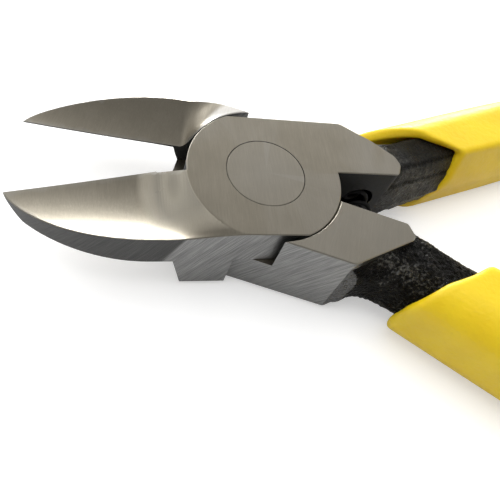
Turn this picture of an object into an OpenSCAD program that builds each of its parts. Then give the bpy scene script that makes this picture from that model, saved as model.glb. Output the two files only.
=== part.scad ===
// Flush cut pliers: an oblique side cutter with a lap joint, two forged
// halves, a flush pivot rivet, a return spring and two dipped vinyl grips.
// Millimetres. +Z points to the marked face, +X to the handles, +Y to the
// upper handle. The origin is on the pivot axis, in the plane of the joint's
// rear face. Each half is drawn closed and turned about the pivot to rest.
// The front half has the lower jaw and the upper handle.

/* [Joint] */
// Thickness of the lap joint, face to face
joint_thick = 10.8; // [10:0.2:12]
// Width of the head across its two ground flats
head_width = 17.3; // [16.9:0.1:17.7]
// Radius of the round boss of each half
boss_r = 9.4; // [9.2:0.05:9.6]
// Diameter of the rivet's flush heads
rivet_head_d = 9.5; // [8.5:0.5:10]
// Diameter of the rivet's shank
rivet_shank_d = 6; // [5:0.5:6.5]
// Gap left between the boss and the recess it turns in
recess_gap = 0.12; // [0.08:0.01:0.2]
// Gap between the two lapped plates at the middle of the joint
lap_gap = 0.06; // [0.04:0.01:0.12]

/* [Jaws] */
// Distance from the pivot to the tips, along X
jaw_reach = 28.8; // [27:0.2:30]
// Angle of the cutting edges to the long axis, degrees
edge_angle = 12; // [11:0.5:13]
// Distance of the closed cutting line from the pivot
edge_offset = 4.95; // [4.7:0.05:5.2]
// Depth of the hollow ground jaw face below the joint face
hollow_depth = 3.9; // [3.4:0.1:4.2]
// Depth of the jaws' far face below the joint face
jaw_depth = 5.9; // [5.6:0.1:6.4]
// Angle of the ground bevel behind the cutting edge, degrees
bevel_angle = 35; // [30:1:40]

/* [Handles] */
// Distance from the pivot to the ends of the grips, along X
handle_reach = 121; // [116:1:126]
// Angle of each handle to the long axis near the joint, degrees
handle_angle = 17.4; // [17:0.2:18]
// Radius of the handle's inward bend
handle_bend_r = 110; // [100:5:130]
// Width of a dipped grip
grip_w = 10.6; // [10.2:0.2:11.4]
// Thickness of a dipped grip
grip_t = 11.2; // [10.8:0.2:12]
// Slant of the upper grip's mouth, outer side forward, degrees
front_slant = 48; // [40:1:50]
// Slant of the lower grip's mouth, outer side forward, degrees
rear_slant = 34; // [30:1:40]

/* [Spring] */
// Distance from the pivot to the axis of the spring pockets
spring_x = 14.2; // [14:0.1:14.4]
// Diameter of the spring pockets
pocket_d = 4.4; // [4.3:0.1:4.6]
// Outside diameter of the return spring
spring_d = 3.2; // [3:0.1:3.3]
// Wire diameter of the return spring
spring_wire = 0.6; // [0.5:0.1:0.7]

/* [Pose] */
// Angle between the two halves at rest, degrees
rest_open = 20.8; // [18:0.2:22]

/* [Hidden] */

steel = [0.64, 0.62, 0.58];
wire = [0.30, 0.30, 0.31];
vinyl = [0.96, 0.83, 0.12];

flat_y = head_width / 2;
mid_z = joint_thick / 2;
half_open = rest_open / 2;
over = 1;                        // how far a cutter runs past a face
through = joint_thick + 2 * over;

function clamp(value, low, high) = min(max(value, low), high);
function unit(angle) = [cos(angle), sin(angle)];

// Extrudes an outline drawn in X and Z from y_min to y_max
module across(y_min, y_max) {
    translate([0, y_max, 0]) rotate([90, 0, 0])
        linear_extrude(y_max - y_min) children();
}

// ---- Rivet and joint ----
recess_r = boss_r + recess_gap;
head_r = rivet_head_d / 2;
shank_r = rivet_shank_d / 2;
head_deep = 2.1;                 // depth of the countersunk heads
run_gap = 0.04;                  // radial clearance of the shank
head_over = 0.01;                // overshoot of the rear head's clearance

// Round boss between the two flats
module boss() {
    intersection() {
        cylinder(r = boss_r, h = joint_thick, $fn = 160);
        translate([-20, -flat_y, -over]) cube([40, 2 * flat_y, through]);
    }
}

module front_head() {
    translate([0, 0, joint_thick - head_deep])
        cylinder(r1 = shank_r, r2 = head_r, h = head_deep, $fn = 96);
}

// A shank with a countersunk head flush with each face of the joint
module pivot_rivet() {
    color(steel) union() {
        cylinder(r = shank_r, h = joint_thick, $fn = 96);
        cylinder(r1 = head_r, r2 = shank_r, h = head_deep, $fn = 96);
        front_head();
    }
}

// ---- Jaws; side is -1 for the lower (front) jaw, 1 for the upper (rear) ----
hollow_z = joint_thick - hollow_depth;   // deepest line of the hollow
jaw_z = joint_thick - jaw_depth;         // far face of the jaws
edge_gap = 0.02;                 // half the gap between the closed edges
edge_land = 0.02;                // height of the bevel's edge above hollow_z
bevel_end = -11;                 // end of the bevel, along the cutting line
throat_y = -3.2;                 // how far the block under the jaws reaches
throat_gap = 0.1;                // clearance round that block

// Hollow: an arc across the jaw, hollow_rim deep at the flats
hollow_rim = 1.2;
hollow_rise = hollow_depth - hollow_rim;
hollow_r = (pow(flat_y, 2) + pow(hollow_rise, 2)) / (2 * hollow_rise);

// Fillet where the hollow runs out; its circle's centre is runout_up above
// the joint face and runout_back from where the circle crosses that face
runout_r = 9;
runout_up = runout_r - hollow_depth - 0.4;
runout_back = sqrt(pow(runout_r, 2) - pow(runout_up, 2));
upper_runout = 9;                // distance of the upper jaw's crossing from the pivot

// Back of each jaw: [x where it meets the flat, inner power, outer power]
lower_back = [-13.4, 2, 0.78];
upper_back = [-9, 1.8, 0.68];
back_steps = 30;

// Height of the closed cutting line at x
function edge_y(x) = (edge_offset + x * sin(edge_angle)) / cos(edge_angle);
tip = [-jaw_reach, edge_y(-jaw_reach)];

// From the blunt tip to the flat at y = end_y
function back_curve(back, end_y) =
    [for (i = [0 : back_steps])
        let (along = pow(i / back_steps, 1.6),
             rise = pow(1 - pow(1 - along, back[1]), back[2]))
        [tip[0] + (back[0] - tip[0]) * along, tip[1] + (end_y - tip[1]) * rise]];

// Outline kept from the hollow, filleted; it meets the joint face at x = meet
// and reaches behind on the other side of the pivot
module runout_outline(meet, behind) {
    centre_x = meet + runout_back;
    difference() {
        translate([-behind, -over]) square([behind + centre_x - 0.1, through]);
        translate([centre_x, joint_thick + runout_up]) circle(runout_r, $fn = 120);
    }
}

// Hollow ground face; it runs out round the boss on the lower jaw, and
// straight across on the upper one
module hollow(side) {
    difference() {
        translate([-60, 0, hollow_z + hollow_r]) rotate([0, 90, 0])
            cylinder(r = hollow_r, h = 60, $fn = 180);
        if (side < 0)
            rotate_extrude($fn = 160) runout_outline(boss_r, 0);
        else
            across(-20, 20) mirror([1, 0]) runout_outline(upper_runout, 20);
    }
}

// A jaw with its root, before the other half's plate is cleared away
module jaw(side) {
    difference() {
        linear_extrude(joint_thick)
            polygon(concat(back_curve(side < 0 ? lower_back : upper_back, side * flat_y),
                           [[0, side * flat_y], [0, edge_y(0)]]));
        hollow(side);
        // far side of the thin blade, with a sloped step up to the joint
        across(-20, 20)
            polygon([[-40, -over], [-9.3, -over], [-9.5, 0], [-10.9, jaw_z], [-40, jaw_z]]);
        // mating side: a plane along the cutting line
        rotate([0, 0, edge_angle])
            translate([-40, edge_offset + side * edge_gap - (side < 0 ? 0 : 20), -over])
                cube([60, 20, through]);
        // ground bevel behind the cutting edge
        rotate([0, 0, edge_angle]) translate([-50, edge_offset, hollow_z + edge_land])
            rotate([-side * bevel_angle, 0, 0])
                translate([0, -10, -20]) cube([50 + bevel_end, 20, 20]);
        // the lower jaw's edge stops short of the boss, and its root leaves
        // room below for the block under the upper one
        if (side < 0) {
            linear_extrude(joint_thick + over)
                polygon([[-10.9, 2.76], [-9, 0.2], [0, 0.2], [0, 9], [-10.9, 9]]);
            translate([-20, throat_y - throat_gap, -over]) cube([20, 20, jaw_z + over]);
        }
    }
}

// Block that closes the throat below the cutting edges, on the upper jaw
module throat() {
    top = jaw_z - throat_gap;
    across(throat_y, 4) polygon([[-6, 0], [-9.5, 0], [-10.8, top], [-6, top]]);
}

// ---- Handles; drawn as the upper one and mirrored for the lower ----
// Centre line: straight, an inward bend, then straight again. Places on it
// are distances s along it from handle_start.
handle_start = [12, 3.1];
end_angle = -2;
bend_start = 31;
bend_length = handle_bend_r * (handle_angle - end_angle) * PI / 180;
bend_end = bend_start + bend_length;

function handle_dir(s) =
    handle_angle - clamp(s - bend_start, 0, bend_length) / handle_bend_r * 180 / PI;
function handle_pos(s) =
    let (angle = handle_dir(s))
    handle_start + min(s, bend_start) * unit(handle_angle)
    + handle_bend_r * [sin(handle_angle) - sin(angle), cos(angle) - cos(handle_angle)]
    + max(s - bend_end, 0) * unit(end_angle);
handle_length = bend_end + (handle_reach - handle_pos(bend_end)[0]) / cos(end_angle);

// Half width and half thickness of the forged tang, and how far it lies
// towards the inner side of the centre line
tang_root = 3.4;
tang_tip = 2.7;
function tang_half(s) = tang_root - (tang_root - tang_tip) * clamp(s / 90, 0, 1);
function tang_inward(s) = 1.0 - 0.8 * clamp((s - 14) / 30, 0, 1);
tang_steps = 30;

// A point on the tang's outer (side = 1) or inner (side = -1) wall
function tang_wall(s, side, grow) =
    let (angle = handle_dir(s))
    handle_pos(s)
    + (side * (tang_half(s) + grow) - tang_inward(s)) * [-sin(angle), cos(angle)];

// The forged tang between two places; grow widens it all round
module tang(grow, from, to) {
    step = (to - from) / tang_steps;
    root = tang_root + grow;
    end = tang_tip + grow;
    intersection() {
        linear_extrude(joint_thick) polygon(concat(
            [for (i = [0 : tang_steps]) tang_wall(from + step * i, 1, grow)],
            [for (i = [0 : tang_steps]) tang_wall(to - step * i, -1, grow)]));
        across(-40, 80) polygon([
            [0, mid_z - root], [105, mid_z - end], [140, mid_z - end],
            [140, mid_z + end], [105, mid_z + end], [0, mid_z + root]]);
    }
}

wall_y = 0.45;                   // inner walls of the tails, closed
front_nose = 18.6;               // how far each tail reaches along X
rear_nose = 18.9;

// Full thickness tail behind the joint, and the tang that grows from it
module handle_root(nose) {
    linear_extrude(joint_thick) polygon([
        [0, wall_y], [17.9, wall_y], [nose - 0.1, wall_y + 0.7], [nose, wall_y + 1.6],
        [nose - 0.5, wall_y + 2.7], [12, flat_y], [0, flat_y]]);
    difference() {
        tang(0, -4, handle_length - 5);
        translate([-10, wall_y - 20, -over]) cube([60, 20, through]);
    }
}

pocket_deep = 5.2;

// Blind pocket for one end of the return spring
module pocket() {
    translate([spring_x, wall_y + pocket_deep, mid_z]) rotate([90, 0, 0])
        cylinder(d = pocket_d, h = pocket_deep + over, $fn = 64);
}

// ---- Halves ----
module front_half() {
    color(steel) rotate([0, 0, half_open]) difference() {
        union() {
            boss();
            jaw(-1);
            handle_root(front_nose);
        }
        // the rear plate turns in here
        translate([0, 0, -over])
            cylinder(r = recess_r, h = mid_z + over + lap_gap / 2, $fn = 160);
        // hole for the rivet's shank and its countersunk front head
        translate([0, 0, -over]) cylinder(r = shank_r, h = through, $fn = 96);
        front_head();
        pocket();
    }
}

module rear_half() {
    color(steel) rotate([0, 0, -half_open]) difference() {
        union() {
            boss();
            jaw(1);
            throat();
            mirror([0, 1, 0]) handle_root(rear_nose);
        }
        // the front plate turns in here
        translate([0, 0, mid_z - lap_gap / 2])
            cylinder(r = recess_r, h = mid_z + over, $fn = 160);
        // running bore for the rivet's shank and clearance for its rear head
        translate([0, 0, -over]) cylinder(r = shank_r + run_gap, h = through, $fn = 96);
        translate([0, 0, -head_over])
            cylinder(r1 = head_r + run_gap + head_over, r2 = shank_r + run_gap,
                     h = head_deep + head_over, $fn = 96);
        mirror([0, 1, 0]) pocket();
    }
}

// ---- Return spring ----
coils = 7;
coil_steps = 12;
wire_steps = coils * coil_steps;
coil_r = (spring_d - spring_wire) / 2;
half_span = spring_x * half_open * PI / 180 + wall_y;   // middle to pocket mouth
leg = pocket_deep - 0.35;        // length inside each pocket
half_length = half_span + leg - spring_wire / 2;

// Point i of the wire. The coils' centre line is straight in each pocket and
// curved between; along is measured on it from the middle.
function coil_at(i) =
    let (along = half_length * (2 * i / wire_steps - 1),
         angle = half_open * clamp(along / half_span, -1, 1),
         ahead = along - spring_x * angle * PI / 180,
         turn = 360 * i / coil_steps,
         flat = (spring_x + coil_r * cos(turn)) * unit(angle)
                + ahead * [-sin(angle), cos(angle)])
    [flat[0], flat[1], mid_z + coil_r * sin(turn)];

module return_spring() {
    color(wire) union() for (i = [0 : wire_steps - 1]) hull() {
        translate(coil_at(i)) sphere(d = spring_wire, $fn = 8);
        translate(coil_at(i + 1)) sphere(d = spring_wire, $fn = 8);
    }
}

// ---- Grips ----
grip_corner_r = 3;
front_mouth = 10;                // where each mouth crosses the centre line
rear_mouth = 12;

// Slices of a grip: [distance along the handle, inset that rounds the end]
grip_slices = [
    [2, 0], [14, 0], [bend_start, 0],
    [bend_start + bend_length / 4, 0],
    [bend_start + bend_length / 2, 0],
    [bend_start + 3 * bend_length / 4, 0],
    [bend_end, 0], [handle_length - 3, 0],
    [handle_length - 0.9, 0.8], [handle_length - 0.1, 2.4]];

// Half width and half thickness of a grip: it swells in the middle, tapers
// to the end and is narrower near the mouth
function grip_half(s) =
    let (part = clamp(s / handle_length, 0, 1), swell = 0.2 * sin(180 * part))
    [grip_w / 2 - 0.6 * max(1 - s / 28, 0) + swell - 0.5 * part,
     grip_t / 2 + swell - 0.9 * part];

// One thin rounded slice across the handle
module grip_slice(s, inset) {
    centre = handle_pos(s);
    core = grip_half(s) - (inset + grip_corner_r) * [1, 1];
    translate([centre[0], centre[1], mid_z]) rotate([0, 0, handle_dir(s)])
        rotate([90, 0, 90]) linear_extrude(0.2)
            offset(grip_corner_r, $fn = 24) square(2 * core, center = true);
}

// Dipped sleeve, closed at its far end, with a slanted mouth
module grip(mouth, slant) {
    mouth_pos = handle_pos(mouth);
    difference() {
        for (i = [0 : len(grip_slices) - 2]) hull() for (j = [i, i + 1])
            grip_slice(grip_slices[j][0], grip_slices[j][1]);
        // hollow for the tang
        tang(0.06, 0, handle_length - 4.9);
        translate([mouth_pos[0], mouth_pos[1], mid_z]) rotate([0, 0, handle_angle + slant])
            translate([-30, -30, -20]) cube([30, 60, 40]);
    }
}

module front_grip() {
    color(vinyl) rotate([0, 0, half_open]) grip(front_mouth, front_slant);
}

module rear_grip() {
    color(vinyl) rotate([0, 0, -half_open]) mirror([0, 1, 0]) grip(rear_mouth, rear_slant);
}

front_half();
rear_half();
pivot_rivet();
return_spring();
front_grip();
rear_grip();
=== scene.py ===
"""Hand cutters lying flat on the XY plane, pivot axis on Z at the origin.

The jaws point to -X and the handles to +X; the thickness runs up +Z. The front
half carries the handle on +Y and the upper joint plate, the rear half the
handle on -Y and the lower plate. Both are drawn closed, in millimetres, as the
front half: side +1 is turned by +OPEN, side -1 is mirrored in Y and turned back.
"""
import math
from math import cos, pi, radians as rad, sin

import bmesh
import bpy
from mathutils import Matrix, Vector, geometry, kdtree, noise


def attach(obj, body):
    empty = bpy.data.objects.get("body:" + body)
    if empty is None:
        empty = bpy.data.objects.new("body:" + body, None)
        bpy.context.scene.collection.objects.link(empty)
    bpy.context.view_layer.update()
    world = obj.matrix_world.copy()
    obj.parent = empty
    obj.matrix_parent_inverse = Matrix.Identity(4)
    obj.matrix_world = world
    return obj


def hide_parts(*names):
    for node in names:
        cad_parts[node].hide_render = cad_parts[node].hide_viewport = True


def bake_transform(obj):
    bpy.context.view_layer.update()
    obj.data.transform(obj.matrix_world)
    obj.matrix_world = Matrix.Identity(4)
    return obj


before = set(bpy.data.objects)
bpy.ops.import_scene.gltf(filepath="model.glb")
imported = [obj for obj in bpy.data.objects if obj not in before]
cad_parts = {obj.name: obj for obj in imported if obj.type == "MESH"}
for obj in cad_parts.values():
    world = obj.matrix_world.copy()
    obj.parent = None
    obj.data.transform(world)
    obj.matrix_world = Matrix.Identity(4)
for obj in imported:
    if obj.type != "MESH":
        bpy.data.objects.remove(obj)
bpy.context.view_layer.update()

# ---------------------------------------------------------------- dimensions, mm
THICK = 10.8
MID = THICK / 2
OPEN = rad(10.4)              # turn of each half at rest
WALL_Y = 0.45                 # inner wall of a tail, closed
HALF_W = 8.65                 # half the width across the head's flats
BOSS, RECESS = 9.4, 9.52      # radii of the joint plate and of the seat for it
HOLE, RIVET_R = 4.80, 4.75
CHAMFER = 0.11
SPRING_X, POCKET_R, POCKET_DEPTH = 14.2, 2.2, 4.3

# handle centre line: a straight, an arc, a straight up to x = REACH
LEAN, END_LEAN = rad(17.4), rad(-2.0)
START, STRAIGHT, BEND_R, REACH = (12.0, 3.1), 31.0, 110.0, 121.0
ARC = BEND_R * (LEAN - END_LEAN)

# jaws
JAW_LEN = 28.8
EDGE_ANGLE, EDGE_OFFSET, EDGE_GAP = rad(12), 4.95, 0.02
HOLLOW, HOLLOW_SIDE = 3.9, 1.2          # sink of the face at y = 0 and at the flats
HOLLOW_R = (HALF_W ** 2 + (HOLLOW - HOLLOW_SIDE) ** 2) / (2 * (HOLLOW - HOLLOW_SIDE))
JAW_Z = 4.9                             # underside of the blade
BEVEL = rad(35)
BEVEL_H = THICK - HOLLOW - 0.04 - JAW_Z
RAMP_X, JAW_X = -9.5, -10.9             # the underside climbs between these
RELIEF_Y = -3.3                         # -Y limit of the front half's relief
BLOCK_X, BLOCK_END, BLOCK_Y = -9.0, -10.8, 3.2   # the rear half's throat block
FRONT_RUN_X = -12.4                     # where the front hollow is fully sunk
REAR_RUN_X, REAR_RUN_SLANT = 10.3, 1.8  # same for the rear: -x at y = 0, more at the back


# ---------------------------------------------------------------- helpers
def clamp(v, low, high):
    return max(low, min(high, v))


def ease(t):
    t = clamp(t, 0.0, 1.0)
    return t * t * (3 - 2 * t)


def handle_angle(s):
    return LEAN - clamp(s - STRAIGHT, 0, ARC) / BEND_R


def handle_point(s):
    angle, first, last = handle_angle(s), min(s, STRAIGHT), max(s - STRAIGHT - ARC, 0)
    return (START[0] + first * cos(LEAN) + BEND_R * (sin(LEAN) - sin(angle)) + last * cos(angle),
            START[1] + first * sin(LEAN) + BEND_R * (cos(angle) - cos(LEAN)) + last * sin(angle))


HANDLE_LEN = STRAIGHT + ARC + (REACH - handle_point(STRAIGHT + ARC)[0]) / cos(END_LEAN)


def along(s, o, z):
    """A point at distance s along the handle, o to its outer side, at height z."""
    (x, y), angle = handle_point(s), handle_angle(s)
    return Vector((x - o * sin(angle), y + o * cos(angle), z))


def place(v, side):
    """From the closed frame of a half to the frame at rest, in metres."""
    x, y, z = v[0], v[1] * side, v[2]
    a = OPEN * side
    return Vector((x * cos(a) - y * sin(a), x * sin(a) + y * cos(a), z)) * 0.001


def add_object(name, data):
    ob = bpy.data.objects.new(name, data)
    bpy.context.scene.collection.objects.link(ob)
    return ob


def make(name, verts, faces, sharp=60.0):
    """A welded, outward-facing mesh object, creased above `sharp` degrees."""
    me = bpy.data.meshes.new(name)
    me.from_pydata([tuple(v) for v in verts], [], faces)
    bm = bmesh.new()
    bm.from_mesh(me)
    bmesh.ops.remove_doubles(bm, verts=bm.verts, dist=1e-7)
    bmesh.ops.recalc_face_normals(bm, faces=bm.faces)
    if bm.calc_volume(signed=True) < 0:
        bmesh.ops.reverse_faces(bm, faces=bm.faces)
    bm.to_mesh(me)
    bm.free()
    me.shade_smooth()
    me.set_sharp_from_angle(angle=rad(sharp))
    return add_object(name, me)


def paint(ob, mat):
    ob.data.materials.clear()
    ob.data.materials.append(mat)


def fit(ob, mat, body, node=None):
    paint(ob, mat)
    if node:
        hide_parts(node)
    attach(ob, body)


def lofted(rings, cap_start=True):
    """Vertices and faces of a skin through closed rings of the same length."""
    verts, faces, n = [], [], len(rings[0])
    for ring in rings:
        verts.extend(ring)
    for i in range(len(rings) - 1):
        for j in range(n):
            k = (j + 1) % n
            faces.append((i * n + j, i * n + k, (i + 1) * n + k, (i + 1) * n + j))
    for i in ([0] if cap_start else []) + [len(rings) - 1]:
        verts.append(sum((Vector(v) for v in rings[i]), Vector()) / n)
        for j in range(n):
            faces.append((i * n + j, i * n + (j + 1) % n, len(verts) - 1))
    return verts, faces


def section(n, corners):
    """A closed outline of n evenly spaced points (o, z) through corners given
    as (o, z, radius), each rounded by its radius."""
    path, m = [], len(corners)
    for i in range(m):
        before, at, after = (Vector(corners[k][:2]) for k in (i - 1, i, (i + 1) % m))
        u, v = before - at, after - at
        half = u.angle(v) / 2
        cut = min(corners[i][2] / math.tan(half), u.length * 0.49, v.length * 0.49)
        p, q = at + u.normalized() * cut, at + v.normalized() * cut
        r = cut * math.tan(half)
        centre = at + (u.normalized() + v.normalized()).normalized() * math.hypot(r, cut)
        for j in range(13):
            path.append(centre + (p.lerp(q, j / 12) - centre).normalized() * r)
    path.append(path[0])
    total = sum((b - a).length for a, b in zip(path, path[1:]))
    out, done, i = [], 0.0, 0
    for j in range(n):
        want = total * j / n
        while done + (path[i + 1] - path[i]).length < want:
            done += (path[i + 1] - path[i]).length
            i += 1
        d = (path[i + 1] - path[i]).length
        q = path[i].lerp(path[i + 1], (want - done) / d if d else 0)
        out.append((q.x, q.y))
    return out


# ---------------------------------------------------------------- shader graphs
def math_node(kind):
    return lambda self, *others: self.graph.math(kind, self, *others)


class Value:
    """A shader socket; arithmetic on it adds math nodes to its graph."""

    def __init__(self, graph, socket):
        self.graph, self.socket = graph, socket

    __add__, __sub__ = math_node("ADD"), math_node("SUBTRACT")
    __mul__, __truediv__ = math_node("MULTIPLY"), math_node("DIVIDE")
    __lt__, __gt__ = math_node("LESS_THAN"), math_node("GREATER_THAN")
    __abs__, __pow__ = math_node("ABSOLUTE"), math_node("POWER")
    sqrt, max = math_node("SQRT"), math_node("MAXIMUM")

    def __rsub__(self, other):
        return self.graph.math("SUBTRACT", other, self)

    def scaled(self, gain, plus):
        return self.graph.math("MULTIPLY_ADD", self, gain, plus)

    def clamped(self, gain, plus):
        """gain * value + plus, held between 0 and 1."""
        return self.graph.math("MULTIPLY_ADD", self, gain, plus, clamp=True)


def rgba(colour):
    """A colour input: a Value as it is, a tuple or a grey with alpha added."""
    if isinstance(colour, Value):
        return colour
    return (*colour, 1) if isinstance(colour, tuple) else (colour, colour, colour, 1)


class Graph:
    """Builds the node tree of a material or world around its shader node."""

    def __init__(self, data, shader="Principled BSDF"):
        data.use_nodes = True
        self.data, self.tree = data, data.node_tree
        self.shader = self.tree.nodes[shader]

    def feed(self, node, inputs):
        for key, value in inputs.items():
            if isinstance(value, Value):
                self.tree.links.new(value.socket, node.inputs[key])
            else:
                node.inputs[key].default_value = value

    def surface(self, inputs):
        self.feed(self.shader, inputs)
        return self.data

    def node(self, kind, inputs, output=0, **props):
        node = self.tree.nodes.new("ShaderNode" + kind)
        for key, value in props.items():
            setattr(node, key, value)
        self.feed(node, inputs)
        return Value(self, node.outputs[output])

    def math(self, op, *operands, clamp=False):
        return self.node("Math", dict(enumerate(operands)), operation=op, use_clamp=clamp)

    def split(self, vector):
        x = self.node("SeparateXYZ", {0: vector})
        return [Value(self, out) for out in x.socket.node.outputs]

    def coords(self, turn=0.0, scale=1000):
        """Object position turned back by `turn`; in millimetres by default."""
        at = self.node("TexCoord", {}, "Object")
        return self.node("Mapping", {0: at, "Rotation": (0, 0, -turn), "Scale": (scale,) * 3})

    def half_frame(self, side):
        """Position in the closed frame of a half: as a vector, then x, y, z
        with y mirrored to the front half's."""
        v = self.coords(OPEN * side)
        x, y, z = self.split(v)
        return v, x, y * float(side), z

    def stretch(self, vector, turn, scale):
        """Turned by degrees about x, y, z, then scaled on each axis."""
        turned = self.node("Mapping", {0: vector, "Rotation": tuple(rad(t) for t in turn)})
        return self.node("Mapping", {0: turned, "Scale": scale})

    def noise(self, vector, scale=1.0, detail=3.0, rough=0.5):
        return self.node("TexNoise", {"Vector": vector, "Scale": scale, "Detail": detail,
                                      "Roughness": rough}, "Fac")

    def ramp(self, fac, *stops):
        """Colour ramp through stops given as (position, colour or grey)."""
        colour = self.node("ValToRGB", {0: fac})
        elements = colour.socket.node.color_ramp.elements
        while len(elements) < len(stops):
            elements.new(0.5)
        for element, (position, tone) in zip(elements, stops):
            element.position = position
            element.color = rgba(tone)
        return colour

    def mix(self, fac, a, b):
        return self.node("Mix", {0: fac, 6: rgba(a), 7: rgba(b)}, 2, data_type="RGBA")

    def mix_float(self, fac, a, b):
        return self.node("Mix", {0: fac, 2: a, 3: b}, data_type="FLOAT")

    def bump(self, height, strength, distance, **normal):
        return self.node("Bump", {"Height": height, "Strength": strength,
                                  "Distance": distance, **normal})


def material(name):
    return Graph(bpy.data.materials.new(name))


# ---------------------------------------------------------------- materials
def fine_scratches(g, v):
    """Fine diagonal grinding marks on the walls, in x and z."""
    return g.noise(g.stretch(v, turn=(0, 62, 0), scale=(0.3, 0.6, 17)), detail=4, rough=0.7)


def ragged(g, v):
    """Noise that breaks up the border between ground and black."""
    return g.noise(v, scale=1.3, rough=0.6)


def black_and_shade_zones(g, v, x, y, z, wall):
    """Masks of the forging left black, with painted shade on the throat walls, and of the spring
    pocket within it, painted near-black as painted shade.
    """
    past_wall = WALL_Y + 0.02
    edge_noise = ragged(g, v)
    inner = (x > 6.0) * (y < past_wall)
    pocket = (abs(x - SPRING_X) < POCKET_R + 0.15) * (
        (y < WALL_Y + POCKET_DEPTH + 1.0) * (abs(z - MID) < POCKET_R + 0.15))
    pocket = pocket * (y > past_wall)
    # the outer wall turns black past a bowed, ragged border near x = 13.6
    height = z - 5.9
    border = 13.6 - height * height * 0.03
    border = border + edge_noise.scaled(gain=2.2, plus=-1.1)
    outer = (x - border).clamped(gain=6.0, plus=0.0) * wall
    # painted shade: the throat walls between the jaws are painted black
    throat_x, throat_y = -10.0, 3.6
    throat = wall * ((abs(x - throat_x) < 2.0) * (abs(y) < throat_y))
    return (inner * wall).max(pocket).max(outer.max(throat)), pocket


def dull_arc_with_painted_light(x, y, wall):
    """Mask of an arc on the front jaw's face just outside the joint, made dull and given painted
    light.
    """
    r = (x * x + y * y).sqrt()
    arc = r.clamped(gain=-0.4, plus=5.9) * r.clamped(gain=6.0, plus=-56.2)
    arc = arc * ((x < -4.0) * y.clamped(gain=0.3, plus=2.4))
    return arc * (1.0 - wall)


def rear_highlight_mask(x, y, wall, grain):
    """Mask of a painted highlight at the start of the rear jaw's hollow, beside
    the joint's seat; narrow by the cutting edge, wide by the back."""
    off = abs(y)
    arc = (RECESS ** 2 - y * y).max(0.0).sqrt()
    run = (x * -1.0 - arc) / (off.scaled(gain=REAR_RUN_SLANT / HALF_W, plus=REAR_RUN_X) - arc)
    width = off.scaled(gain=0.035, plus=0.1)
    rear_highlight = (width - run).clamped(gain=9.0, plus=0.2)
    rear_highlight = rear_highlight * ((run > 0.0) * ((x < -3.0) * (y < 3.0)))
    return rear_highlight * ((1.0 - wall) * grain.clamped(gain=1.2, plus=0.3))


def seam_line(g, v, x, y, z):
    """Mask of the broken hairline between the rivet's head and the plate."""
    r = (x * x + y * y).sqrt()
    line = g.math("SUBTRACT", 1.0, abs(r - HOLE) * 11.0, clamp=True)
    line = line * (z > THICK - 0.2)
    return line * g.noise(v, scale=0.9, detail=2).clamped(gain=2.4, plus=-0.55)


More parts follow.
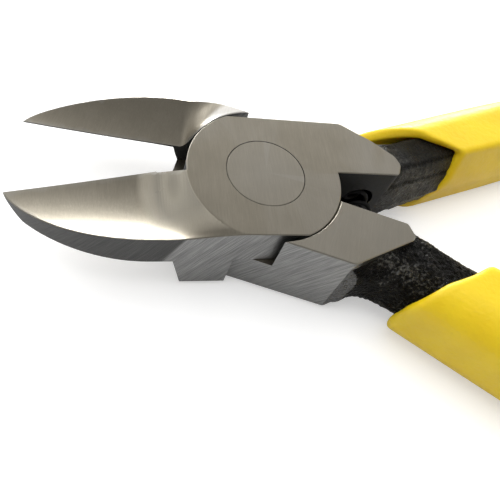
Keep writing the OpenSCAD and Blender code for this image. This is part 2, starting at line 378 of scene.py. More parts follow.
def steel(name, side, seam=False):
    """Ground steel: brushed faces, scratched walls, black forging inside;
    painted shade in the throat and spring pocket, painted highlights on the
    corners and the rear jaw's run-out, painted light on the front jaw's run-out.
    """
    g = material(name)
    v, x, y, z = g.half_frame(side)
    level = abs(g.split(g.node("NewGeometry", {}, "True Normal"))[2])
    wall = g.math("SUBTRACT", 1.0, level.clamped(gain=4.0, plus=-1.4), clamp=True)

    # fine and coarse grain on the faces, along the tool
    fine = g.noise(g.stretch(v, turn=(0, 0, 6), scale=(17, 0.5, 17)), detail=4, rough=0.65)
    coarse = g.noise(g.stretch(v, turn=(0, 0, -2), scale=(6, 0.16, 6)), rough=0.6)
    blotch = g.noise(v, scale=0.28)
    grain = fine * 0.6 + coarse * 0.4
    wide = g.noise(g.stretch(v, turn=(0, 58, 0), scale=(0.2, 0.5, 7.0)), detail=2)
    scratch = fine_scratches(g, v) * 0.6 + wide * 0.4

    face_colour = g.ramp(grain * 0.7 + blotch * 0.3, (0.3, (0.43, 0.392, 0.318)),
                         (0.5, (0.51, 0.466, 0.38)), (0.68, (0.60, 0.552, 0.46)))
    wall_colour = g.ramp(scratch, (0.34, 0.175), (0.5, (0.31, 0.31, 0.306)),
                         (0.66, (0.49, 0.49, 0.48)))
    # the walls along the back of the blade are darker than by the joint
    blade = (z.scaled(gain=0.45, plus=-14.4) - x).clamped(gain=2.5, plus=0.5)
    wall_colour = g.mix(blade * 0.75, wall_colour, (0.035, 0.035, 0.034))
    colour = g.mix(wall, face_colour, wall_colour)
    rough = g.mix_float(wall, grain.scaled(gain=0.22, plus=0.26),
                        scratch.scaled(gain=0.3, plus=0.32))

    black, pocket = black_and_shade_zones(g, v, x, y, z, wall)
    spark = g.noise(v, scale=9.0, detail=2)
    black_colour = g.ramp(spark, (0.35, (0.012, 0.012, 0.011)), (0.6, (0.019, 0.019, 0.018)),
                          (0.75, (0.045, 0.045, 0.042)))
    colour = g.mix(black, colour, black_colour)
    # painted shade: the spring pocket is painted near-black
    colour = g.mix(pocket, colour, 0.002)
    rough = g.mix_float(black, rough, 0.5)
    metal = g.mix_float(black, 1.0, 0.3)

    if side > 0:
        # painted light: a brighter base where the face tilts, making up for the shade on the
        # steeper slope, so that the arc reads evenly
        dull_and_painted_light = dull_arc_with_painted_light(x, y, wall)
        painted_light_gain = level.max(0.42) ** -1.05
        painted_tilt_light = g.node("VectorMath", {0: (0.186, 0.172, 0.141), "Scale": painted_light_gain},
                      operation="SCALE")
        colour = g.mix(dull_and_painted_light, colour, painted_tilt_light)
        metal = metal * dull_and_painted_light.scaled(gain=-1.0, plus=1.0)
        rough = g.mix_float(dull_and_painted_light, rough, 0.7)
    else:
        # painted highlight: the start of the rear jaw's hollow is painted pale and made less
        # metallic
        rear_highlight = rear_highlight_mask(x, y, wall, grain)
        colour = g.mix(rear_highlight, colour, (0.80, 0.78, 0.74))
        metal = metal * rear_highlight.scaled(gain=-0.6, plus=1.0)
    if seam:
        colour = g.mix(seam_line(g, v, x, y, z) * 0.75, colour, (0.05, 0.048, 0.04))

    # painted highlight: a brighter line painted on the corners of the faces
    corner = g.node("NewGeometry", {}, "Pointiness").clamped(gain=18.0, plus=-9.5)
    painted_corner_highlight = corner * (1.0 - black.max(wall))
    colour = g.mix(painted_corner_highlight * 0.35, colour, (0.7, 0.69, 0.66))
    relief = g.mix_float(wall, grain * 0.35, scratch * 1.0)
    relief = g.mix_float(black, relief, spark * 2.2)
    return g.surface({"Base Color": colour, "Metallic": metal, "Roughness": rough,
                      "Normal": g.bump(relief, strength=0.35, distance=0.00006)})


def forging(name, side, tones, coarse_bump, fine_bump):
    """Black oxide on a rough forging, rubbed and sparkling here and there, with a painted
    highlight along the rear tang's crown and painted shade in the front tang's creases.
    """
    g = material(name)
    v, x, y, _ = g.half_frame(side)
    coarse = g.noise(v, scale=1.1, detail=4, rough=0.75)
    fine = g.noise(v, scale=2.6, rough=0.7)
    cloud = g.noise(v, scale=0.22, detail=2)
    tone = fine * 0.62 + cloud * 0.38
    if side < 0:
        # a painted highlight along the crown of the rear tang
        painted_crown_highlight = abs(y - x.scaled(gain=0.30, plus=0.3)).clamped(gain=-0.45, plus=1.0)
        tone = tone + painted_crown_highlight.scaled(gain=0.085, plus=-0.02)
    colour = g.ramp(tone, *tones)
    # painted shade: the front tang's creases are painted dark
    crease = g.node("Attribute", {}, "Fac", attribute_name="crease")
    colour = g.mix(crease * 0.85, colour, 0.012)
    # the flat beside the head is ground up to a ragged border near x = 14
    border = ragged(g, v).scaled(gain=2.4, plus=13.0)
    flat = (y > HALF_W - 0.12) * (border - x).clamped(gain=5.0, plus=0.0)
    ground = g.ramp(fine_scratches(g, v), (0.32, (0.12, 0.12, 0.122)),
                    (0.68, (0.27, 0.27, 0.265)))
    normal = g.bump(coarse, strength=coarse_bump, distance=0.0012)
    return g.surface({"Base Color": g.mix(flat, colour, ground), "Metallic": 0.85,
                      "Roughness": g.ramp(coarse, (0.35, 0.25), (0.65, 0.48)),
                      "Normal": g.bump(fine, strength=fine_bump, distance=0.0006,
                                       Normal=normal)})


def vinyl():
    """Dipped plastisol: glossy yellow with slight runs and scuffs."""
    g = material("dipped_vinyl")
    v = g.coords()
    cloud = g.noise(v, scale=0.16)
    scuff = g.noise(v, scale=1.7)
    pore = g.noise(v, scale=9.0, detail=2)
    colour = g.mix(g.ramp(cloud, (0.35, 0.0), (0.65, 1.0)),
                   (0.80, 0.56, 0.010), (0.87, 0.63, 0.013))
    colour = g.mix(g.math("MULTIPLY", g.ramp(scuff, (0.60, 0.0), (0.75, 1.0)), 0.18),
                   colour, (0.62, 0.44, 0.05))
    normal = g.bump(scuff, strength=0.25, distance=0.0003)
    return g.surface({"Base Color": colour,
                      "Roughness": g.ramp(scuff, (0.3, 0.36), (0.7, 0.50)),
                      "Subsurface Weight": 0.12, "Subsurface Radius": (1.0, 0.55, 0.1),
                      "Subsurface Scale": 0.0012, "Coat Weight": 0.12, "Coat Roughness": 0.25,
                      "Normal": g.bump(pore, strength=0.2, distance=0.00004, Normal=normal)})


def wire():
    """Near-black, slightly uneven spring wire."""
    g = material("spring_wire")
    grit = g.noise(g.stretch(g.coords(), turn=(0, 0, 0), scale=(2, 2, 2)), scale=2.0, rough=0.6)
    return g.surface({"Base Color": g.ramp(grit, (0.3, 0.004), (0.7, 0.014)), "Metallic": 0.2,
                      "Roughness": g.ramp(grit, (0.3, 0.5), (0.7, 0.7)),
                      "Normal": g.bump(grit, strength=0.2, distance=0.00003)})


# forging tones, dark to worn, as (position, colour)
TONES_FRONT = ((0.40, (0.035, 0.035, 0.033)), (0.55, (0.06, 0.06, 0.057)),
               (0.70, (0.16, 0.16, 0.155)))
TONES_REAR = ((0.44, 0.007), (0.56, (0.026, 0.026, 0.025)), (0.67, (0.28, 0.28, 0.27)))

STEEL_FRONT = steel("ground_steel_front", 1, seam=True)
STEEL_REAR = steel("ground_steel_rear", -1)
STEEL_RIVET = steel("rivet_steel", 1, seam=True)
FORGE_FRONT = forging("black_forging_front", 1, TONES_FRONT, coarse_bump=0.4, fine_bump=0.4)
FORGE_REAR = forging("black_forging_rear", -1, TONES_REAR, coarse_bump=1.0, fine_bump=0.9)
VINYL = vinyl()
WIRE = wire()


# ---------------------------------------------------------------- plan outlines
def circle(r, n, start=0.0, end=360.0):
    """n steps along an arc in degrees; a full circle leaves out its last point."""
    count = n if abs(end - start) >= 360 else n + 1
    angles = [rad(start + (end - start) * i / n) for i in range(count)]
    return [(r * cos(a), r * sin(a)) for a in angles]


def finely(pts, step):
    """The polyline cut into pieces about `step` long."""
    out = []
    for (x0, y0), (x1, y1) in zip(pts, pts[1:]):
        n = max(1, int(math.hypot(x1 - x0, y1 - y0) / step))
        out += [(x0 + (x1 - x0) * i / n, y0 + (y1 - y0) * i / n) for i in range(n)]
    return out + [pts[-1]]


def rounded(pts, r):
    """Cuts each inner corner of an open polyline with a small arc."""
    out = [pts[0]]
    for a, b, c in zip(pts, pts[1:], pts[2:]):
        u, v = Vector(a) - Vector(b), Vector(c) - Vector(b)
        cut = min(r, u.length * 0.45, v.length * 0.45)
        p, q = Vector(b) + u.normalized() * cut, Vector(b) + v.normalized() * cut
        for i in range(5):
            t = i / 4
            w = p * (1 - t) ** 2 + Vector(b) * 2 * t * (1 - t) + q * t * t
            out.append((w.x, w.y))
    return out + [pts[-1]]


def inward(pts, d):
    """The polyline moved to its left by d."""
    out = []
    for i, (x, y) in enumerate(pts):
        a, b = pts[max(i - 1, 0)], pts[min(i + 1, len(pts) - 1)]
        t = Vector((b[0] - a[0], b[1] - a[1])).normalized()
        out.append((x - t.y * d, y + t.x * d))
    return out


def contains(poly, x, y):
    hit = False
    for (x0, y0), (x1, y1) in zip(poly, poly[1:] + poly[:1]):
        if (y0 > y) != (y1 > y) and x < x0 + (y - y0) / (y1 - y0) * (x1 - x0):
            hit = not hit
    return hit


def nearest(lines, x, y):
    """Distance to the lines; segments more than `far` away are passed over."""
    best, far = 1e9, 0.3
    for line in lines:
        for (x0, y0), (x1, y1) in zip(line, line[1:]):
            if (min(x0, x1) - x > far or x - max(x0, x1) > far
                    or min(y0, y1) - y > far or y - max(y0, y1) > far):
                continue
            dx, dy = x1 - x0, y1 - y0
            t = clamp(((x - x0) * dx + (y - y0) * dy) / (dx * dx + dy * dy + 1e-12), 0, 1)
            best = min(best, math.hypot(x - x0 - t * dx, y - y0 - t * dy))
    return best


# ---------------------------------------------------------------- the heads
FLAT_X = math.sqrt(BOSS ** 2 - HALF_W ** 2)            # where the flats meet the boss
FLAT_DEG = math.degrees(math.atan2(HALF_W, FLAT_X))
WALL_DEG = math.degrees(math.asin(WALL_Y / BOSS))
TAIL_START = (BOSS * cos(rad(WALL_DEG)), WALL_Y)
# tail outline (x, y), from the inner wall round to the outer flat
TAIL_FRONT = [TAIL_START, (17.9, WALL_Y), (18.7, 2.1), (18.25, 3.5), (15.5, 5.95),
              (11.5, HALF_W), (FLAT_X, HALF_W)]
TAIL_REAR = [TAIL_START, (18.2, WALL_Y), (19.2, 1.9), (19.1, 2.6), (12.3, HALF_W),
             (FLAT_X, HALF_W)]
THROAT_RUN, THROAT_SLOPE = 2.9, 0.8045   # length; outline's drift per mm left to sink
FULL, JOINT, RELIEF = 0, 1, 2            # kinds of surface, above or below


class Half:
    """One forged and ground half as two height fields over one plan: the jaw
    to -x with its back on -y, the tail to +x on +y. Side -1 mirrors it."""

    def __init__(self, side):
        self.side = side
        # end of the blade's curved back, and the two powers of its curve
        back_x, run_power, rise_power = (-13.4, 2.0, 0.78) if side > 0 else (BLOCK_X, 1.8, 0.68)
        tip = (-JAW_LEN, self.edge(-JAW_LEN))
        back = []
        for i in range(91):
            u = (i / 90) ** 1.6
            back.append((tip[0] + (back_x - tip[0]) * u,
                         tip[1] + (-HALF_W - tip[1]) * (1 - (1 - u) ** run_power) ** rise_power))
        back += finely([(back_x, -HALF_W), (FLAT_X, -HALF_W)], 0.8)[1:-1]
        back += circle(BOSS, 60, -FLAT_DEG, WALL_DEG)
        nose = rounded(TAIL_FRONT, 0.5) if side > 0 else rounded(TAIL_REAR, 0.3)
        tail = finely(nose, 0.6) + finely([(FLAT_X, HALF_W), (-FLAT_X, HALF_W)], 0.8)[1:]
        if side > 0:
            left = circle(BOSS, 60, 180 - FLAT_DEG, 180)
            throat = [left[-1]] + [self.throat_point(i) for i in range(1, 20)]
            end = -BOSS - THROAT_RUN
            throat.append((end, self.edge(end)))
        else:
            left = circle(BOSS, 60, 180 - FLAT_DEG, 180 - math.degrees(math.asin(BLOCK_Y / BOSS)))
            throat = [left[-1], (BLOCK_END + 0.2, BLOCK_Y), (BLOCK_END, BLOCK_Y - 0.2),
                      (BLOCK_END, self.edge(BLOCK_END))]
        cut = finely([throat[-1], tip], 0.4)
        self.ring = back + tail[1:] + left[1:] + finely(throat, 0.3)[1:] + cut[1:-1]
        self.soft = [back, tail, left]
        rim = circle(RECESS, 180) + [(RECESS, 0.0)]
        self.top_soft = self.soft if side > 0 else self.soft + [rim]

    def throat_point(self, i):
        """Front throat outline, settled by iteration as its face sinks."""
        x, y = -BOSS - THROAT_RUN * i / 20, 1.0
        for _ in range(40):
            y = 0.5 * y + 0.5 * (self.edge(x) - THROAT_SLOPE * (HOLLOW - self.sunk(x, y)))
        return x, y

    def edge(self, x):
        """y of the cutting edge."""
        return self.side * (EDGE_OFFSET + x * sin(EDGE_ANGLE)) / cos(EDGE_ANGLE) - EDGE_GAP

    def sunk(self, x, y):
        """How far the ground jaw face lies below the joint's face."""
        r = BOSS if self.side > 0 else RECESS
        if x >= 0 or math.hypot(x, y) <= r:
            return 0.0
        # the hollow runs out from a line across the jaw to the joint's arc
        arc = -math.sqrt(max(r ** 2 - y * y, 0))
        if self.side > 0:
            u = clamp((arc - x) / (arc - FRONT_RUN_X), 0, 1)
            f = 0.25 * (1 - (1 - u) ** 2) + 0.75 * ease(u)
        else:
            start = -REAR_RUN_X - REAR_RUN_SLANT * max(-y, 0) / HALF_W
            u = clamp((arc - x) / (arc - start), 0, 1)
            w = ease((-y - 1.5) / 7.0)
            f = (1 - w) * (1 - (1 - u) ** 2.2) + w * (0.12 * u + 0.88 * ease(u) ** 2.2)
        return (math.sqrt(HOLLOW_R ** 2 - min(abs(y), 9) ** 2) - HOLLOW_R + HOLLOW) * f

    def top_label(self, x, y):
        if self.side < 0:
            if math.hypot(x, y) < RECESS:
                return JOINT
            if x < BLOCK_X and y > self.edge(x):
                return RELIEF
        return FULL

    def bottom_label(self, x, y):
        if self.side > 0:
            # the relief starts a gap outside the other half's plate, which
            # swings in beside it as the jaws close
            relief = JAW_X < x < -8 and y > RELIEF_Y
            if math.hypot(x, y) < RECESS + (CHAMFER if relief else 0):
                return JOINT
            if relief:
                return RELIEF
        return FULL

    def top(self, x, y, label):
        if label == JOINT:
            return MID - 0.03
        if label == RELIEF:
            return JAW_Z - 0.1
        return THICK - self.sunk(x, y) - max(0.0, CHAMFER - nearest(self.top_soft, x, y))

    def bottom(self, x, y, label):
        if label == JOINT:
            return MID + 0.03
        if label == RELIEF:
            return JAW_Z
        up = clamp((RAMP_X - x) / (RAMP_X - JAW_X), 0, 1) * JAW_Z
        if x < JAW_X and y < self.edge(x) + 0.01:
            # the bevel under the cutting edge
            e = (self.edge(x) - y) * cos(EDGE_ANGLE)
            up += max(BEVEL_H - e * math.tan(BEVEL), 0) * ease((JAW_X - x) / 0.7)
            up = min(up, THICK - self.sunk(x, y) - 0.17)
        up += max(0.0, CHAMFER - nearest(self.soft, x, y))
        return min(up, self.top(x, y, FULL) - 0.03) if x < JAW_X else up

    def plan(self):
        """Points and constraint edges for the triangulation."""
        pts, edges = [], []

        def line(p, closed=False):
            k = len(pts)
            pts.extend(p)
            edges.extend((k + i, k + i + 1) for i in range(len(p) - 1))
            if closed:
                edges.append((k + len(p) - 1, k))

        def grid(start, end, step):
            outline = [self.ring + self.ring[:1]]
            i, x = 0, start
            while x < end:
                y = -HALF_W + step * (0.5 if i % 2 else 0.25)
                while y < 4:
                    if (contains(self.ring, x, y)
                            and nearest(outline, x, y) > step * 0.35 + 0.1):
                        pts.append((x, y))
                    y += step
                x += step * 0.87
                i += 1

        edge = self.edge
        line(self.ring, True)
        line(circle(HOLE, 120), True)
        line(circle(HOLE + 0.05, 120), True)
        for border in self.soft:
            line(inward(border, CHAMFER))
        line(circle(RECESS, 180), True)
        if self.side > 0:
            line(circle(BOSS, 120, 176, 246))
            line(circle(RECESS + CHAMFER, 120, 176, 206))
            line(finely([(JAW_X, RELIEF_Y), (-8.5, RELIEF_Y)], 0.3))
        else:
            line(circle(RECESS + CHAMFER, 180), True)
            # the lowered top of the throat block, and the ramp under it
            line(finely([(BLOCK_X, edge(BLOCK_X)), (BLOCK_END, edge(BLOCK_END))], 0.3))
            line(finely([(RAMP_X, edge(RAMP_X)), (RAMP_X, 3.3)], 0.3))
        line(finely([(-12.1, -HALF_W), (JAW_X, edge(JAW_X))], 0.3))
        for x in (JAW_X, RAMP_X):
            line(finely([(x, -HALF_W), (x, edge(x))], 0.3))
        # where the bevel under the cutting edge runs into the flat underside
        width = BEVEL_H / math.tan(BEVEL) / cos(EDGE_ANGLE)
        line(finely([(x, edge(x) - width) for x in (-11.6, -25.5)], 0.5))
        grid(-28.5, -13.5, 0.5)
        grid(-13.5, -3.4, 0.3)
        return pts, edges

    def skin(self):
        """Top and bottom faces over the plan, and the walls at every step."""
        pts, edges = self.plan()
        co, _, triangles, *_ = geometry.delaunay_2d_cdt(
            [Vector(p) for p in pts], edges, [], 0, 1e-4)
        tops, bottoms, levels, kept = {}, {}, {}, []
        for tri in triangles:
            cx = sum(co[i].x for i in tri) / 3
            cy = sum(co[i].y for i in tri) / 3
            if math.hypot(cx, cy) < HOLE - 0.002 or not contains(self.ring, cx, cy):
                continue
            labels = self.top_label(cx, cy), self.bottom_label(cx, cy)
            kept.append((tuple(tri), labels))
            for i in tri:
                for z, height, label in zip((tops, bottoms), (self.top, self.bottom), labels):
                    if (i, label) not in z:
                        z[i, label] = round(height(co[i].x, co[i].y, label), 5)
                        levels.setdefault(i, set()).add(z[i, label])

        verts, index, faces, sides = [], {}, [], {}

        def vert(i, z):
            if (i, z) not in index:
                index[i, z] = len(verts)
                verts.append(place((co[i].x, co[i].y, z), self.side))
            return index[i, z]

        def wall(i, j, high_i, low_i, high_j, low_j):
            if high_i - low_i < 1e-4 and high_j - low_j < 1e-4:
                return
            down = sorted((z for z in levels[j] if low_j < z < high_j), reverse=True)
            up = sorted(z for z in levels[i] if low_i < z < high_i)
            loop = ([(i, high_i), (j, high_j)] + [(j, z) for z in down]
                    + [(j, low_j), (i, low_i)] + [(i, z) for z in up])
            ids = list(dict.fromkeys(vert(*corner) for corner in loop))
            if len(ids) > 2:
                faces.append(ids)

        for tri, labels in kept:
            faces.append([vert(i, tops[i, labels[0]]) for i in tri])
            faces.append([vert(i, bottoms[i, labels[1]]) for i in reversed(tri)])
            for k in range(3):
                side = tuple(sorted((tri[k], tri[(k + 1) % 3])))
                sides.setdefault(side, []).append(labels)
        for (i, j), used in sides.items():
            if len(used) == 1:
                t, b = used[0]
                wall(i, j, tops[i, t], bottoms[i, b], tops[j, t], bottoms[j, b])
                continue
            for z, a, b in zip((tops, bottoms), used[0], used[1]):
                if a != b:
                    high, low = (a, b) if z[i, a] + z[j, a] > z[i, b] + z[j, b] else (b, a)
                    wall(i, j, z[i, high], z[i, low], z[j, high], z[j, low])
        return verts, faces


def cut_pocket(ob, side, sharp):
    """Cuts the blind round spring pocket through the inner wall."""
    turns = [2 * pi * k / 48 for k in range(48)]
    rings = [[place((SPRING_X + POCKET_R * cos(t), y, MID + POCKET_R * sin(t)), side)
              for t in turns] for y in (WALL_Y - 1.0, WALL_Y + POCKET_DEPTH)]
    cutter = make(ob.name + "_cutter", *lofted(rings))
    mod = ob.modifiers.new("pocket", "BOOLEAN")
    mod.operation, mod.solver, mod.object = "DIFFERENCE", "EXACT", cutter
    bpy.context.view_layer.update()
    depsgraph = bpy.context.evaluated_depsgraph_get()
    cut = bpy.data.meshes.new_from_object(ob.evaluated_get(depsgraph))
    ob.modifiers.clear()
    # guards against a failed boolean that loses most of the mesh
    if len(cut.polygons) > len(ob.data.polygons) * 0.7:
        bm = bmesh.new()
        bm.from_mesh(cut)
        bmesh.ops.dissolve_degenerate(bm, edges=bm.edges, dist=1e-7)
        bmesh.ops.holes_fill(bm, edges=[e for e in bm.edges if e.is_boundary], sides=4)
        bm.to_mesh(cut)
        bm.free()
        ob.data = cut
        cut.shade_smooth()
        cut.set_sharp_from_angle(angle=rad(sharp))
    bpy.data.objects.remove(cutter)


def jaw_half(name, side, body, mat):
    sharp = 26
    ob = make(name, *Half(side).skin(), sharp=sharp)
    cut_pocket(ob, side, sharp)
    for f in ob.data.polygons:
        f.use_smooth = abs(f.normal.z) > 0.3
    fit(ob, mat, body, body + "_half")


jaw_half("front_jaw_half", 1, "front", STEEL_FRONT)
jaw_half("rear_jaw_half", -1, "rear", STEEL_REAR)


def rivet():
    """The flush rivet: two ground heads on one turned body."""
    r, n, bevel, head = RIVET_R, 120, 0.05, 0.6
    profile = [(r - bevel, 0.0), (r, bevel), (r, head), (r - 0.02, MID),
               (r, THICK - head), (r, THICK - bevel), (r - bevel, THICK)]
    rings = [[Vector((q * cos(2 * pi * k / n), q * sin(2 * pi * k / n), z)) * 0.001
              for k in range(n)] for q, z in profile]
    ob = make("flush_rivet", *lofted(rings), sharp=25)
    fit(ob, STEEL_RIVET, "front", "pivot_rivet")


rivet()


# ---------------------------------------------------------------- the tangs
# section corners (o, z): o to the handle's outer side, z from mid thickness
TANG_FRONT = [(2.2, 4.45), (-1.8, 4.35), (-3.05, 2.3), (-4.1, -0.8), (-3.6, -3.2),
              (-1.9, -4.4), (2.2, -4.4), (3.6, -2.7), (3.7, 2.2)]
TANG_REAR = [(2.4, 4.45), (-2.4, 4.35), (-4.35, 2.3), (-4.9, -0.8), (-3.9, -3.2),
             (-2.0, -4.4), (2.9, -4.4), (4.25, -2.7), (4.0, 2.0)]


def lumps(p, scale, shift):
    """Noise at p, with its pattern moved by shift."""
    return noise.noise(p * scale + Vector(shift))


def fit_to_head(q):
    """Keeps a tang's point inside the outline of the head's tail."""
    q.y = max(q.y, WALL_Y + 0.03)
    if q.x < 17.1:
        slope = min(5.9, 8.3 - 0.87 * (q.x - 12.3))
        q.y = max(q.y, slope - 5.4 * ease((q.x - 16.7) / 0.4))
    q.y = min(q.y, HALF_W - 0.03)
    if q.x < 20.5:
        limit = 5.15 - 0.4 * ease((q.x - 17.5) / 3)
        q.z = clamp(q.z, MID - limit, MID + limit)
    return q


def tang(name, side, body, corners, mat, inset, radius, flare, run, bulge, rough):
    """A forged bar from the head into the grip: moved in by inset, flared by
    `flare` at the head over a length `run`, more at mid height by `bulge`."""
    rings, creases = [], []
    steps, around = 230, 160
    for i in range(steps + 1):
        s = -2.5 + 26.0 * i / steps
        k = 1 - 0.1 * clamp(s / 30, 0, 1)
        wide = flare * math.exp(-(max(s, 0.8) - 2.6) / run)
        ring = []
        scaled = [(a * k, b * k) for a, b in corners]
        for o, z in section(around, [(a, b, radius) for a, b in scaled]):
            # two sharp creases run along the front tang
            crease = 0.0
            if side > 0:
                near = min(math.hypot(o - a, z - b) for a, b in scaled[1:3])
                crease = math.exp(-(near / 0.3) ** 2)
            creases.append(crease)
            # flared into the head on its outer side
            z += min(wide, 1.5) * 0.5 * z / 3.7
            outer = 0.5 + 0.5 * clamp(o / 3.6, -1, 1)
            o += wide * outer * 0.95 * (1 + bulge * max(1 - (z / 4.4) ** 2, 0))
            o -= inset
            p = along(s, o, MID + z)
            d = (0.20 * lumps(p, 0.5, (0, 0, 9 * side))
                 + 0.10 * abs(lumps(p, 1.5, (0, 4 * side, 0)))
                 + rough * lumps(p, 2.9, (0, 7 * side, 0)) - 0.2 * crease)
            q = along(s, o + d * (o + inset) / 4.2, MID + z + d * z / 4.2)
            ring.append(place(fit_to_head(q), side))
        rings.append(ring)
    ob = make(name, *lofted(rings))
    # the crease weights are stored for the painted shade along the creases
    if side > 0:
        attribute = ob.data.attributes.new("crease", "FLOAT", "POINT")
        tree = kdtree.KDTree(len(creases))
        for k, v in enumerate(v for ring in rings for v in ring):
            tree.insert(v, k)
        tree.balance()
        for k, v in enumerate(ob.data.vertices):
            attribute.data[k].value = creases[tree.find(v.co)[1]]
    fit(ob, mat, body)


tang("front_tang", 1, "front", TANG_FRONT, FORGE_FRONT,
     inset=1.0, radius=0.22, flare=1.5, run=1.8, bulge=0, rough=0.04)
tang("rear_tang", -1, "rear", TANG_REAR, FORGE_REAR,
     inset=2.0, radius=1.3, flare=3.1, run=1.5, bulge=0.5, rough=0.10)


# ---------------------------------------------------------------- the grips
GRIP_W, GRIP_H = 5.3, 5.6     # nominal half width and half height
# section corners: o, z, radius, share of the shrink
GRIP_FRONT = [(5.3, 5.5, 4.2, 1), (-3.9, 5.65, 0.9, 1), (-5.7, 0.3, 6.0, 1),
              (-4.7, -5.7, 1.6, 1.4), (5.3, -5.6, 3.8, 1.96)]
GRIP_REAR = [(5.6, 6.0, 4.8, 1), (-5.0, 6.0, 1.7, 1), (-6.2, 0.0, 6.0, 1),
             (-4.9, -5.8, 2.2, 1), (5.5, -5.8, 3.8, 1)]
LIP = 1.25
# from inside the mouth round the lip to the skin: depth past the mouth, shrink
LIP_PROFILE = [(5.0, LIP + 0.75), (2.2, LIP + 0.3), (0.7, LIP + 0.02), (0.28, LIP * 0.93),
               (0.06, LIP * 0.78), (0.0, LIP * 0.6), (0.02, LIP * 0.42), (0.12, LIP * 0.24),
               (0.3, LIP * 0.1), (0.6, 0.02), (0.95, 0.0)]
# stations from the slanted lip to the first square ring, as fractions
SQUARING = (0.04, 0.09, 0.15, 0.22, 0.3, 0.4, 0.52, 0.65, 0.8, 1.0)


def grip_outline(s, corners, shrink):
    """Corners of a grip's section at s, drawn in by shrink."""
    k = clamp(s / HANDLE_LEN, 0, 1)
    swell = 0.2 * sin(pi * k)
    w = 1 + (swell - 0.5 * k) / GRIP_W - 0.10 * max(1 - s / 28, 0)
    h = 1 + (swell - 0.9 * k) / GRIP_H
    out = []
    for o, z, r, share in corners:
        o, z, d = o * w, z * h, shrink * share
        out.append((o - math.copysign(d, o), z - math.copysign(d, z) * (abs(z) > 1),
                    max(r - d, 0.4)))
    return out


def grip(name, side, body, corners, mouth, slant, corner, out, tilt):
    """A dipped sleeve: a slanted mouth with a thick rounded lip, an outer
    skin along the bent handle and a closed, rounded end. The mouth slants by
    degrees across o, reaches back by `corner` on the outer side and by `tilt`
    with z; the sleeve lies `out` from the handle's centre line."""
    cache = {}

    def outline(s, shrink):
        key = (round(s, 2), shrink)
        if key not in cache:
            cache[key] = section(160, grip_outline(s, corners, shrink))
        return cache[key]

    def mouth_station(o, z):
        return mouth - o * math.tan(rad(slant)) - corner * max(o - 1.0, 0) ** 1.3 \
            + tilt * (z / GRIP_H) + 0.22 * noise.noise(Vector((o * 0.3, z * 0.3, 5.0 * side)))

    def skin(s, o, z):
        return place(along(s, o + out, MID + z), side)

    rings = []
    mouths = [mouth_station(o, z) for o, z in outline(14, 0)]
    for depth, shrink in LIP_PROFILE:
        rings.append([skin(m + depth, *outline(max(m + depth, 1), shrink)[j])
                      for j, m in enumerate(mouths)])
    first, last = STRAIGHT - 5, HANDLE_LEN - 4.5
    lip_ends = [m + LIP_PROFILE[-1][0] for m in mouths]
    for f in SQUARING:
        stations = [m + (first - m) * f for m in lip_ends]
        rings.append([skin(s, *outline(s, 0)[j]) for j, s in enumerate(stations)])
    count = 60
    for i in range(1, count + 1):
        s = first + (last - first) * i / count
        rings.append([skin(s, o, z) for o, z in outline(s, 0)])
    for i in range(1, 12):
        t = i / 12 * pi / 2
        s = last + 4.4 * sin(t)
        k = 0.12 + 0.88 * cos(t)
        rings.append([skin(s, o * k, z * k) for o, z in outline(s, 0)])
    ob = make(name, *lofted(rings, cap_start=False), sharp=80)
    fit(ob, VINYL, body, body + "_grip")


grip("upper_grip_skin", 1, "front", GRIP_FRONT,
     mouth=10.9, slant=41.0, corner=0.68, out=0.2, tilt=2.6)
grip("lower_grip_skin", -1, "rear", GRIP_REAR,
     mouth=12.8, slant=30.0, corner=0.0, out=-1.0, tilt=0.5)


# ---------------------------------------------------------------- the spring
def spring():
    """A coil on an arc about the pivot, its ends straight in the two pockets."""
    wire_r, coil_width = 0.3, 3.2
    coil_r = (coil_width - 2 * wire_r) / 2
    coils, steps, around = 7, 40, 12
    span = SPRING_X * OPEN + WALL_Y
    leg = POCKET_DEPTH - 0.3

    def centre_line(u):
        a = OPEN * clamp(u / span, -1, 1)
        if abs(u) <= span:
            rest = u - SPRING_X * a
        else:
            rest = math.copysign(abs(u) - span, u) + math.copysign(WALL_Y, u)
        return Vector((SPRING_X * cos(a) - rest * sin(a), SPRING_X * sin(a) + rest * cos(a),
                       MID)), a

    total = coils * steps
    pts = []
    for i in range(total + 1):
        centre, a = centre_line((span + leg - wire_r) * (2 * i / total - 1))
        t = 2 * pi * i / steps
        pts.append(centre + coil_r * Vector((cos(t) * cos(a), cos(t) * sin(a), sin(t))))
    rings = []
    for i, p in enumerate(pts):
        d = (pts[min(i + 1, total)] - pts[max(i - 1, 0)]).normalized()
        u = d.cross(Vector((0, 1, 0))).normalized()
        v = u.cross(d)
        rings.append([(p + wire_r * (u * cos(2 * pi * k / around) + v * sin(2 * pi * k / around)))
                      * 0.001 for k in range(around)])
    ob = make("coil_spring", *lofted(rings))
    paint(ob, WIRE)
    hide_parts("return_spring")
    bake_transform(ob)


spring()


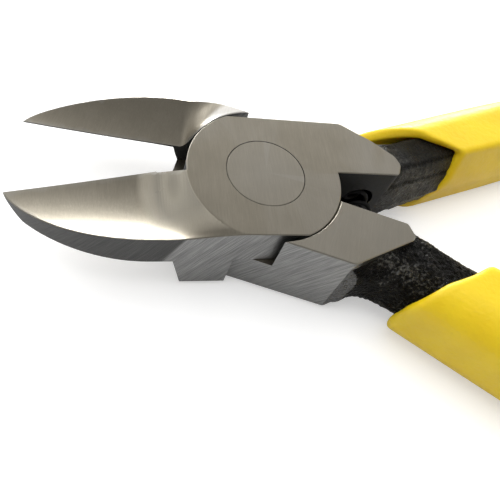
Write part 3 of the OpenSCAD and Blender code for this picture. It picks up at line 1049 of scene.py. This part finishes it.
# ---------------------------------------------------------------- the stage, metres
def floor():
    me = bpy.data.meshes.new("floor")
    bm = bmesh.new()
    bmesh.ops.create_grid(bm, x_segments=1, y_segments=1, size=3.0)
    bm.to_mesh(me)
    bm.free()
    ob = add_object("floor", me)
    ob.location = (0, 0, -0.0006)
    g = material("floor")
    mottle = g.noise(g.coords(scale=40), detail=2)
    # a little duller to the part than to the camera, which sees it nearly white
    glow = g.node("LightPath", {}, "Is Camera Ray") * 0.42
    paint(ob, g.surface({"Base Color": g.ramp(mottle, (0.3, 0.74), (0.7, 0.76)),
                         "Emission Color": (1, 1, 1, 1), "Emission Strength": glow,
                         "Roughness": 0.9, "Specular IOR Level": 0.1}))


def studio_world():
    """A sky whose tone changes with height and towards -Y."""
    rise, toward, spread = 0.75, 0.65, 1.65
    # tone position, brightness
    tones = ((0.0, 1.0), (0.1, 0.72), (0.24, 0.33), (0.5, 0.20), (0.75, 0.13), (1.0, 0.10))
    g = Graph(bpy.data.worlds.new("studio"), "Background")
    bpy.context.scene.world = g.data
    _, y, z = g.split(g.node("TexCoord", {}, "Generated"))
    height = z.scaled(gain=rise / spread, plus=toward / spread)
    tone = y.scaled(gain=-toward / spread, plus=height)
    sky = g.ramp(tone, *((at, (c, c * 0.99, c * 0.97)) for at, c in tones))
    g.surface({"Color": sky, "Strength": 1.85})


def softbox(name, at, size, power, shiny=False):
    """A rectangular light aimed at the head; `shiny` shows it in reflections."""
    light = bpy.data.lights.new(name, "AREA")
    light.shape = "RECTANGLE"
    light.size, light.size_y = size
    light.energy = power
    ob = add_object(name, light)
    ob.location = at
    aim = Vector((0.01, 0.0, 0.005)) - Vector(at)
    ob.rotation_euler = aim.to_track_quat("-Z", "Y").to_euler()
    ob.visible_glossy = shiny


def camera():
    data = bpy.data.cameras.new("camera")
    data.sensor_width = 36
    data.lens = 39.6
    data.clip_start = 0.001
    ob = add_object("camera", data)
    ob.matrix_world = Matrix(((0.9687026, -0.1548308, -0.1940172, -0.01293885),
                              (0.0293272, 0.8475351, -0.5299285, -0.0419217),
                              (0.2464856, 0.5076531, 0.8255502, 0.0589145),
                              (0, 0, 0, 1)))
    bpy.context.scene.camera = ob


floor()
studio_world()
softbox("low_strip", at=(-0.02, 0.42, 0.035), size=(0.5, 0.05), power=1.6, shiny=True)
softbox("key", at=(-0.1, 0.35, 0.9), size=(1.4, 1.4), power=14.0)
softbox("side", at=(-0.6, -0.25, 0.45), size=(0.5, 0.5), power=1.0)
softbox("front", at=(0.3, -0.7, 0.5), size=(0.7, 0.5), power=0.5)
camera()
bpy.context.scene.view_settings.view_transform = "Standard"
